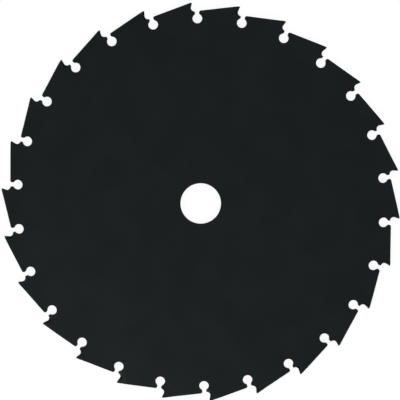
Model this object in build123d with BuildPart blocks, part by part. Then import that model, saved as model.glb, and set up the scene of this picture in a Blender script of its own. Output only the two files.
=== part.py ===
from build123d import *
from math import asin, cos, degrees, radians, sin, sqrt, tan
import os

# Brush cutter blade: one flat disc of hardened steel with chisel teeth round its rim.
# It lies flat. The origin is the centre of the bore on the underside of the plate, +Z points up
# and +Y runs through the middle of one gullet. Seen from above, the teeth point clockwise.

# Plate, in millimetres
blade_diameter = 250.0
bore_diameter = 25.4
plate_thickness = 2.0
teeth = 26

# Keyhole gullet in front of each tooth: a round hole, and the throat that opens it to the rim
gullet_depth = 9.7
gullet_hole_diameter = 6.0
throat_nose_side = 1.4
throat_heel_side = 1.1

# Tooth point, with angles in degrees: the face leans forward of the gullet's middle line,
# the back falls away from the tip circle, and a short land between them lies on that circle
tip_offset = 3.25
face_lean = 11.0
relief_angle = 17.7
land_length = 1.15

# Recess between the face and the nose of the throat
recess_depth = 3.3
recess_radius = 2.0
recess_floor_slope = 22.0

# Rounded corners of the throat
heel_round = 1.2
nose_round = 0.6
nose_hole_round = 1.2

# Set: the points are bent out of the plate, up and down by turns
set_angle = 4.7
set_depth = 6.5
bend_radius = 4.0

# Bevel: the recess is filed on a slant, so each point is sharp on the side that it is set to
file_radius = 2.4
file_tilt = 38.0
file_heading = 20.0
file_land = 0.2

# A rounded corner takes at most this share of the straight side that it shares with another
side_share = 0.6

# Radii, angles and heights that follow from the sizes above
tip_radius = blade_diameter / 2
hole_radius = gullet_hole_diameter / 2
hole_centre = Vector(0, tip_radius - gullet_depth)
outside = tip_radius + gullet_depth
pitch = 360 / teeth
lean = radians(face_lean)
slope = radians(recess_floor_slope)
bend = radians(set_angle)
tilt = radians(file_tilt)
heading = radians(file_heading)

# The tip of the tooth is on the left of the gullet's middle line, where the face meets the land
tip = Vector(-tip_offset, sqrt(tip_radius**2 - tip_offset**2))
tip_turn = degrees(asin(tip_offset / tip_radius))
land_turn = degrees(land_length / tip_radius)
back_angle = tip_turn + relief_angle
up_the_face = Vector(sin(lean), cos(lean))

# The back of the tooth on the right falls from its land to the heel of this gullet
back_start = Vector(0, tip_radius).rotate(Axis.Z, tip_turn + land_turn - pitch)
heel_drop = (back_start.X - throat_heel_side) * tan(radians(back_angle - pitch))
heel_corner = Vector(throat_heel_side, back_start.Y - heel_drop)

# The recess is an arc that touches the face above it and the floor that slopes to the nose
recess_y = tip_radius - recess_depth
recess_x = tip.X - (tip.Y - recess_y) * tan(lean) + recess_radius / cos(lean)
recess_centre = Vector(recess_x, recess_y)
face_foot = recess_centre + Vector(-cos(lean), sin(lean)) * recess_radius
floor_start = recess_centre - Vector(sin(slope), cos(slope)) * recess_radius
nose_drop = (-throat_nose_side - floor_start.X) * tan(slope)
nose_corner = Vector(-throat_nose_side, floor_start.Y - nose_drop)

# Where the straight sides of the throat run into the round hole
heel_foot = hole_centre + Vector(throat_heel_side, sqrt(hole_radius**2 - throat_heel_side**2))
nose_foot = hole_centre + Vector(-throat_nose_side, sqrt(hole_radius**2 - throat_nose_side**2))
heel_limit = side_share * (heel_corner.Y - heel_foot.Y)
nose_limit = side_share * (nose_corner.Y - nose_foot.Y)

# The set line crosses the tooth square to the middle of its point, from the round hole to the back
half_turn = radians((90 - face_lean + back_angle) / 2)
inward = Vector(-cos(half_turn), -sin(half_turn))
along_set = Vector(sin(half_turn), -cos(half_turn))
set_foot = tip + inward * set_depth
set_in_hole = set_foot + along_set * (hole_centre - set_foot).dot(along_set)
set_past_back = set_foot - along_set * gullet_depth

# The file leans, so it cuts deeper on the side that the point is bent away from. On the sharp
# side it only reaches the bottom of the recess, at the height of the bent plate there
into_tooth = Vector(-cos(heading), -sin(heading))
recess_bottom = recess_centre + into_tooth * recess_radius
recess_run = (set_foot - recess_bottom).dot(inward)
recess_rise = (recess_run - bend_radius * tan(bend / 2)) * tan(bend)
file_height = plate_thickness + recess_rise - file_land
file_centre = recess_bottom - into_tooth * (file_radius / cos(tilt)) + Vector(0, 0, file_height)

# One gullet, with the room over the back of the tooth on its right
with BuildSketch() as gullet:
    with BuildLine():
        Polyline(
            face_foot,
            tip + up_the_face * gullet_depth,
            Vector(back_start.X, outside),
            back_start,
            heel_corner,
            hole_centre + Vector(throat_heel_side, 0),
            hole_centre - Vector(throat_nose_side, 0),
            nose_corner,
            floor_start,
        )
        RadiusArc(floor_start, face_foot, recess_radius)
    make_face()
    with Locations(hole_centre):
        Circle(hole_radius)
    for corner, radius in (
        (heel_corner, min(heel_round, heel_limit)),
        (heel_foot, min(heel_round, heel_limit)),
        (nose_corner, min(nose_round, nose_limit)),
        (nose_foot, min(nose_hole_round, nose_limit)),
    ):
        fillet(gullet.vertices().sort_by_distance(corner)[0], radius)

# Outline of the whole blade, before any point is bent
with BuildSketch() as outline:
    Circle(tip_radius)
    with PolarLocations(0, teeth):
        add(gullet.sketch, mode=Mode.SUBTRACT)
    Circle(bore_diameter / 2, mode=Mode.SUBTRACT)

# What is bent on one tooth: everything from its set line out past its tip
with BuildSketch() as point_zone:
    with BuildLine():
        Polyline(
            hole_centre,
            set_in_hole,
            set_past_back,
            set_past_back - inward * gullet_depth,
            Vector(0, outside),
            close=True,
        )
    make_face()

with BuildSketch() as point_outline:
    add(outline.sketch)
    add(point_zone.sketch, mode=Mode.INTERSECT)

# Point of a tooth that is bent up, cut from a strip that is drawn in section across the set line
strip_plane = Plane(origin=set_foot, x_dir=-inward, z_dir=along_set)
strip_length = set_depth + gullet_depth
file_plane = Plane(origin=file_centre, z_dir=into_tooth * sin(tilt) - Vector(0, 0, cos(tilt)))

with BuildPart() as raised_point:
    with BuildSketch():
        add(point_outline.sketch)
    extrude(amount=gullet_depth, both=True)
    with BuildSketch(strip_plane):
        with BuildLine():
            under = JernArc((0, 0), (1, 0), bend_radius + plate_thickness, set_angle)
            over = JernArc((0, plate_thickness), (1, 0), bend_radius, set_angle)
            under_run = PolarLine(under @ 1, strip_length, set_angle)
            over_run = PolarLine(over @ 1, strip_length, set_angle)
            Line(under @ 0, over @ 0)
            Line(under_run @ 1, over_run @ 1)
        make_face()
    extrude(amount=strip_length, both=True, mode=Mode.INTERSECT)
    with Locations(file_plane):
        Cylinder(file_radius, 2 * gullet_depth, mode=Mode.SUBTRACT)

# The point next to it is the same one turned over
with BuildPart() as lowered_point:
    mirror(raised_point.part, about=Plane.XY.offset(plate_thickness / 2))

# The plate, with a bent point on every tooth
with BuildPart() as blade:
    with BuildSketch():
        add(outline.sketch)
        with PolarLocations(0, teeth):
            add(point_zone.sketch, mode=Mode.SUBTRACT)
    extrude(amount=plate_thickness)
    with Locations([Rotation(0, 0, pitch * tooth) for tooth in range(0, teeth, 2)]):
        add(raised_point.part)
    with Locations([Rotation(0, 0, pitch * tooth) for tooth in range(1, teeth, 2)]):
        add(lowered_point.part)

blade.part.label = "blade"

os.makedirs("parts", exist_ok=True)
export_step(blade.part, "parts/blade.step")
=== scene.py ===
import math

import bpy
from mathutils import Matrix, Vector


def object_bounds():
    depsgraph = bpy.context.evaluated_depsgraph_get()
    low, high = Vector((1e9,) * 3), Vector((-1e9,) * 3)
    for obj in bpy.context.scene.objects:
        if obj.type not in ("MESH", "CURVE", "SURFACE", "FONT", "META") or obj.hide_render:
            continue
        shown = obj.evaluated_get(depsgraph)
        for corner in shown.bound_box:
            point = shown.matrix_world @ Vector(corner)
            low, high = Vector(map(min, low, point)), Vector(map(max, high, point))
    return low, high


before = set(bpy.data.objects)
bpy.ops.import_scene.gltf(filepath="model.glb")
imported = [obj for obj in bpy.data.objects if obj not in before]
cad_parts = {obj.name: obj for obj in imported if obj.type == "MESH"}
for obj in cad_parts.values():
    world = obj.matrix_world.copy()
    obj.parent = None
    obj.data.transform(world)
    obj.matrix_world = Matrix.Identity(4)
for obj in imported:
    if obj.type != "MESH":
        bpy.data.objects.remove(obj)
cad_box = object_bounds()

MILLIMETRE = 0.001
WHITE = (1.0, 1.0, 1.0, 1)

# Camera, in millimetres and degrees: it looks almost straight down on the blade
CAMERA_PLACE = Vector((2.06, 28.27, 627.97))
CAMERA_TURN = (-2.386, 0.182, -1.035)
CAMERA_LENS = 90.0
NEAREST_SEEN = 10.0

# Ring of lights round the blade, in metres, degrees and watts: a near key light and soft boxes
RING_LIGHTS = 4
RING_ELEVATION = 32.0
KEY_DIRECTION = 238.0
KEY_SIZE = 0.5
KEY_DISTANCE = 0.8
KEY_WATTS = 4.35
BOX_SIZE = 0.9
BOX_DISTANCE = 1.6
BOX_WATTS = 11.8

# The studio round them is white near the floor, dim higher up, and has a faint glow straight
# overhead. Heights are sines of elevations
HORIZON_LEVEL = 1.0
HORIZON_HEIGHT = 0.1
CEILING_LEVEL = 0.05
CEILING_HEIGHT = 0.3
OVERHEAD_GLOW = 0.12
OVERHEAD_HEIGHT = 0.93
ZENITH_HEIGHT = 1.0

# Floor, in metres. Part of its white is a glow that no shadow reaches, and far out all of it is
FLOOR_RADIUS = 12.0
FLOOR_CORNERS = 64
FLOOR_GLOW = 0.925
SHADOWS_END = 0.13
GLOW_FULL = 0.3

# Every edge of the steel is broken a little, in millimetres and degrees. Before that, points
# closer than the weld are joined, and faces that turn by less than the flat angle become one
EDGE_BREAK = 0.08
EDGE_STEPS = 2
LEAST_EDGE_ANGLE = 34.0
FLAT_ANGLE = 0.6
WELD = 0.001

# The plate, and the round file that bevels its teeth as it lies in the first gullet, in
# millimetres and degrees. Steel within the file's reach of its surface is the filed bevel
TEETH = 26
PLATE_THICKNESS = 2.0
FILE_PLACE = (-0.86, 122.06, 2.05)
FILE_RADIUS = 2.4
FILE_TILT = 38.0
FILE_HEADING = 20.0
FILE_REACH = 0.08

# How far a face points up or down, as the Z of its normal. A wall has less than the first two
# and the plate's faces have more than the last two, with a smooth change between each pair
WALL_LIMITS = (0.1, 0.35)
PLATE_LIMITS = (0.9, 0.96)

# Blue-black coat, in linear colour: on the faces, on the cut walls and on the filed bevels. The
# bevels' colour is partly painted shade: on the whole it is darker than the coat, shown as dark
# metal, so that the bevels look shaded, and its light and dark streaks are file marks
COAT_DARK = (0.0082, 0.0107, 0.0115, 1)
COAT_LIGHT = (0.0092, 0.0120, 0.0129, 1)
CUT_COAT = (0.0097, 0.0125, 0.0134, 1)
# Painted shade on the bevels, streaked with file marks
BEVEL_MARKS_AND_SHADE_DARK = (0.0030, 0.0040, 0.0043, 1)
BEVEL_MARKS_AND_SHADE_LIGHT = (0.0090, 0.0119, 0.0130, 1)

# Shine of the coat. Its grey tint also keeps the bevels from glaring where they mirror the floor
SHINE = 0.3
SHINE_TINT = (0.5, 0.5, 0.5, 1)

# Noise swings round a half. It is all dark below the first value and all light above the second
PATTERN_LIMITS = (0.35, 0.65)

# Roughness of the coat, and what the patterns and the cut and filed surfaces add to it
ROUGHNESS = 0.30
MOTTLE_ROUGHNESS = 0.10
GRAIN_ROUGHNESS = 0.06
WALL_ROUGHNESS = 0.08
BEVEL_ROUGHNESS = -0.14

# Patterns in millimetres: cloudy mottle, fine grain, upright cut marks and marks along the file
MOTTLE_SIZE = 22.0
MOTTLE_DETAIL = 3.0
FINE_DETAIL = 2.0
GRAIN_SIZE = 0.35
GRAIN_HEIGHT = 0.012
CUT_SIZE = 0.16
CUT_HEIGHT = 0.02
FILE_MARK_SIZE = 0.12
FILE_MARK_HEIGHT = 0.02

# The two results of a step up, and of a step down
RISING = (0.0, 1.0)
FALLING = (1.0, 0.0)

# The mix node's sockets for the share of its second colour, for its colours and for the result
MIX_SHARE = 0
MIX_FIRST = 6
MIX_SECOND = 7
MIX_RESULT = 2


def node(tree, kind, inputs=None, **settings):
    """A new shader node. Each input takes a plain value, or the output of another node."""
    made = tree.nodes.new("ShaderNode" + kind)
    for name, value in settings.items():
        setattr(made, name, value)
    for name, value in (inputs or {}).items():
        if isinstance(value, bpy.types.NodeSocket):
            tree.links.new(value, made.inputs[name])
        else:
            made.inputs[name].default_value = value
    return made


def maths(tree, operation, *values):
    return node(tree, "Math", dict(enumerate(values)), operation=operation).outputs[0]


def vectors(tree, operation, *values, output="Vector"):
    made = node(tree, "VectorMath", dict(enumerate(values)), operation=operation)
    return made.outputs[output]


def scaled(tree, vector, factor):
    inputs = {0: vector, "Scale": factor}
    return node(tree, "VectorMath", inputs, operation="SCALE").outputs["Vector"]


def step_between(tree, value, limits, results=RISING):
    """The first result up to the lower limit, the second from the upper one, smooth between."""
    inputs = {
        "Value": value,
        "From Min": limits[0],
        "From Max": limits[1],
        "To Min": results[0],
        "To Max": results[1],
    }
    return node(tree, "MapRange", inputs, interpolation_type="SMOOTHSTEP").outputs["Result"]


def mix_colours(tree, share, first, second):
    inputs = {MIX_SHARE: share, MIX_FIRST: first, MIX_SECOND: second}
    return node(tree, "Mix", inputs, data_type="RGBA").outputs[MIX_RESULT]


def noise(tree, place, size, detail=FINE_DETAIL):
    inputs = {"Vector": place, "Scale": 1 / size, "Detail": detail}
    return node(tree, "TexNoise", inputs).outputs["Fac"]


def across(tree, place, direction):
    """The place without its part along a direction. Noise there is drawn out into streaks."""
    along = vectors(tree, "DOT_PRODUCT", place, direction, output="Value")
    return vectors(tree, "SUBTRACT", place, scaled(tree, direction, along))


def new_tree(data):
    data.use_nodes = True
    data.node_tree.nodes.clear()
    return data.node_tree


def add_object(name, data):
    made = bpy.data.objects.new(name, data)
    bpy.context.collection.objects.link(made)
    return made


def make_camera():
    camera = add_object("camera", bpy.data.cameras.new("camera"))
    camera.location = CAMERA_PLACE * MILLIMETRE
    camera.rotation_euler = [math.radians(turn) for turn in CAMERA_TURN]
    camera.data.lens = CAMERA_LENS
    camera.data.clip_start = NEAREST_SEEN * MILLIMETRE
    bpy.context.scene.camera = camera


def add_light(name, middle, direction, size, distance, watts):
    """A square light that stands in that direction from the middle and shines at it."""
    turn = math.radians(direction)
    rise = math.radians(RING_ELEVATION)
    level = Vector((math.cos(turn), math.sin(turn), 0)) * math.cos(rise)
    away = level + Vector((0, 0, math.sin(rise)))
    light = add_object(name, bpy.data.lights.new(name, "AREA"))
    light.data.size = size
    light.data.energy = watts
    light.location = middle + away * distance
    light.rotation_euler = away.to_track_quat("Z", "Y").to_euler()
    return light


def make_lights(middle):
    """Only the key light glints, so the coat is dark from nearly every side, as a matt one is."""
    add_light("key_light", middle, KEY_DIRECTION, KEY_SIZE, KEY_DISTANCE, KEY_WATTS)
    for number in range(1, RING_LIGHTS):
        name = f"soft_box_{number}"
        direction = KEY_DIRECTION + number * 360 / RING_LIGHTS
        box = add_light(name, middle, direction, BOX_SIZE, BOX_DISTANCE, BOX_WATTS)
        box.visible_glossy = False


def make_world():
    world = bpy.data.worlds.new("studio")
    bpy.context.scene.world = world
    tree = new_tree(world)
    direction = node(tree, "TexCoord").outputs["Generated"]
    height = node(tree, "SeparateXYZ", {"Vector": direction}).outputs["Z"]
    limits = (HORIZON_HEIGHT, CEILING_HEIGHT)
    level = step_between(tree, height, limits, (HORIZON_LEVEL, CEILING_LEVEL))
    glow = step_between(tree, height, (OVERHEAD_HEIGHT, ZENITH_HEIGHT), (0.0, OVERHEAD_GLOW))
    strength = maths(tree, "ADD", level, glow)
    sky = node(tree, "Background", {"Color": WHITE, "Strength": strength})
    node(tree, "OutputWorld", {"Surface": sky.outputs["Background"]})


def white_floor():
    """It looks white with a faint shadow, and lights the blade as white paper does."""
    material = bpy.data.materials.new("white_floor")
    tree = new_tree(material)
    path = node(tree, "LightPath")
    seen = maths(tree, "MAXIMUM", path.outputs["Is Camera Ray"], path.outputs["Is Glossy Ray"])
    seen = maths(tree, "MAXIMUM", seen, path.outputs["Is Transmission Ray"])
    place = node(tree, "TexCoord").outputs["Object"]
    distance = vectors(tree, "LENGTH", place, output="Value")
    glow_share = step_between(tree, distance, (SHADOWS_END, GLOW_FULL), (FLOOR_GLOW, 1.0))
    share = maths(tree, "MULTIPLY", seen, glow_share)
    paper = node(tree, "BsdfDiffuse", {"Color": WHITE})
    glow = node(tree, "Emission", {"Color": WHITE})

    # The first socket is the share of the second shader, and the next two are the shaders
    inputs = dict(enumerate((share, paper.outputs["BSDF"], glow.outputs["Emission"])))
    mix = node(tree, "MixShader", inputs)
    node(tree, "OutputMaterial", {"Surface": mix.outputs["Shader"]})
    return material


def make_floor(height):
    turns = [2 * math.pi * corner / FLOOR_CORNERS for corner in range(FLOOR_CORNERS)]
    rim = [
        (FLOOR_RADIUS * math.cos(turn), FLOOR_RADIUS * math.sin(turn), height)
        for turn in turns
    ]
    mesh = bpy.data.meshes.new("floor")
    mesh.from_pydata(rim, [], [range(FLOOR_CORNERS)])
    mesh.materials.append(white_floor())
    add_object("floor", mesh)


def in_first_gullet(tree, place):
    """The place as it lies at the first gullet, whose point is bent up, in millimetres."""
    split = node(tree, "SeparateXYZ", {"Vector": place})
    x, y, z = (split.outputs[axis] for axis in "XYZ")
    turn = maths(tree, "ARCTAN2", maths(tree, "MULTIPLY", x, -1.0), y)
    gullet = maths(tree, "ROUND", maths(tree, "DIVIDE", turn, 2 * math.pi / TEETH))
    back_turn = maths(tree, "MULTIPLY", gullet, -2 * math.pi / TEETH)
    inputs = {"Vector": place, "Angle": back_turn}
    turned = node(tree, "VectorRotate", inputs, rotation_type="Z_AXIS").outputs["Vector"]
    flat = node(tree, "SeparateXYZ", {"Vector": turned})

    # Every other point is bent down, and is the same turned over about the plate's middle
    lowered = maths(tree, "FLOORED_MODULO", gullet, 2.0)
    sign = maths(tree, "MULTIPLY_ADD", lowered, -2.0, 1.0)
    half = PLATE_THICKNESS / 2
    height = maths(tree, "MULTIPLY_ADD", maths(tree, "SUBTRACT", z, half), sign, half)
    inputs = {"X": flat.outputs["X"], "Y": flat.outputs["Y"], "Z": height}
    return node(tree, "CombineXYZ", inputs).outputs["Vector"]


def off_file_axis(tree, place):
    """The way from the file's axis to the place, square to that axis."""
    tilt = math.radians(FILE_TILT)
    heading = math.radians(FILE_HEADING)
    direction = (
        -math.cos(heading) * math.sin(tilt),
        -math.sin(heading) * math.sin(tilt),
        -math.cos(tilt),
    )
    from_file = vectors(tree, "SUBTRACT", in_first_gullet(tree, place), FILE_PLACE)
    return across(tree, from_file, direction)


def masks(tree, from_axis):
    """1 on the cut walls, and 1 on the filed bevels."""
    true_normal = node(tree, "NewGeometry").outputs["True Normal"]
    normal = node(tree, "SeparateXYZ", {"Vector": true_normal})
    up = maths(tree, "ABSOLUTE", normal.outputs["Z"])
    distance = vectors(tree, "LENGTH", from_axis, output="Value")
    off_file = maths(tree, "ABSOLUTE", maths(tree, "SUBTRACT", distance, FILE_RADIUS))
    near_file = step_between(tree, off_file, (FILE_REACH / 2, FILE_REACH), FALLING)
    off_plate = step_between(tree, up, PLATE_LIMITS, FALLING)
    on_bevel = maths(tree, "MULTIPLY", near_file, off_plate)
    upright = step_between(tree, up, WALL_LIMITS, FALLING)
    on_wall = maths(tree, "MAXIMUM", maths(tree, "SUBTRACT", upright, on_bevel), 0.0)
    return on_wall, on_bevel


def coated_steel():
    material = bpy.data.materials.new("coated_steel")
    tree = new_tree(material)
    place = scaled(tree, node(tree, "TexCoord").outputs["Object"], 1 / MILLIMETRE)
    from_axis = off_file_axis(tree, place)
    on_wall, on_bevel = masks(tree, from_axis)

    mottle = noise(tree, place, MOTTLE_SIZE, MOTTLE_DETAIL)
    grain = noise(tree, place, GRAIN_SIZE)
    cut_marks = noise(tree, across(tree, place, (0, 0, 1)), CUT_SIZE)
    file_marks = noise(tree, from_axis, FILE_MARK_SIZE)

    cloud = step_between(tree, mottle, PATTERN_LIMITS)
    streak = step_between(tree, file_marks, PATTERN_LIMITS)
    coat = mix_colours(tree, cloud, COAT_DARK, COAT_LIGHT)
    # The bevels' darker colour is painted shade, with file marks streaked light and dark through
    # it
    filed = mix_colours(tree, streak, BEVEL_MARKS_AND_SHADE_DARK, BEVEL_MARKS_AND_SHADE_LIGHT)
    colour = mix_colours(tree, on_bevel, mix_colours(tree, on_wall, coat, CUT_COAT), filed)

    roughness = ROUGHNESS
    for pattern, amount in (
        (mottle, MOTTLE_ROUGHNESS),
        (grain, GRAIN_ROUGHNESS),
        (on_wall, WALL_ROUGHNESS),
        (on_bevel, BEVEL_ROUGHNESS),
    ):
        roughness = maths(tree, "MULTIPLY_ADD", pattern, amount, roughness)

    height = maths(tree, "MULTIPLY", grain, GRAIN_HEIGHT)
    for marks, mask, depth in (
        (cut_marks, on_wall, CUT_HEIGHT),
        (file_marks, on_bevel, FILE_MARK_HEIGHT),
    ):
        masked = maths(tree, "MULTIPLY", marks, mask)
        height = maths(tree, "MULTIPLY_ADD", masked, depth, height)
    bump = node(tree, "Bump", {"Height": height, "Distance": MILLIMETRE, "Strength": 1.0})

    inputs = {
        "Base Color": colour,
        "Roughness": roughness,
        "Metallic": on_bevel,
        "Specular IOR Level": SHINE,
        "Specular Tint": SHINE_TINT,
        "Normal": bump.outputs["Normal"],
    }
    shader = node(tree, "BsdfPrincipled", inputs)
    node(tree, "OutputMaterial", {"Surface": shader.outputs["BSDF"]})
    return material


def break_edges(piece):
    """A tiny rounded break on every edge, to catch the light, with true normals on the faces."""
    weld = piece.modifiers.new("weld", "WELD")
    weld.merge_threshold = WELD * MILLIMETRE
    flats = piece.modifiers.new("flats", "DECIMATE")
    flats.decimate_type = "DISSOLVE"
    flats.angle_limit = math.radians(FLAT_ANGLE)
    edges = piece.modifiers.new("edge_break", "BEVEL")
    edges.width = EDGE_BREAK * MILLIMETRE
    edges.segments = EDGE_STEPS
    edges.limit_method = "ANGLE"
    edges.angle_limit = math.radians(LEAST_EDGE_ANGLE)
    edges.use_clamp_overlap = False
    normals = piece.modifiers.new("normals", "WEIGHTED_NORMAL")
    normals.keep_sharp = False

    # Even triangles, because a plain split leaves a few with no area
    triangles = piece.modifiers.new("triangles", "TRIANGULATE")
    triangles.ngon_method = "BEAUTY"
    triangles.keep_custom_normals = True


low, high = cad_box
make_camera()
make_lights((low + high) / 2)
make_world()
make_floor(low.z)

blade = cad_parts["blade"]
steel = coated_steel()
for slot in blade.material_slots:
    slot.material = steel
break_edges(blade)

bpy.context.scene.view_settings.view_transform = "Standard"
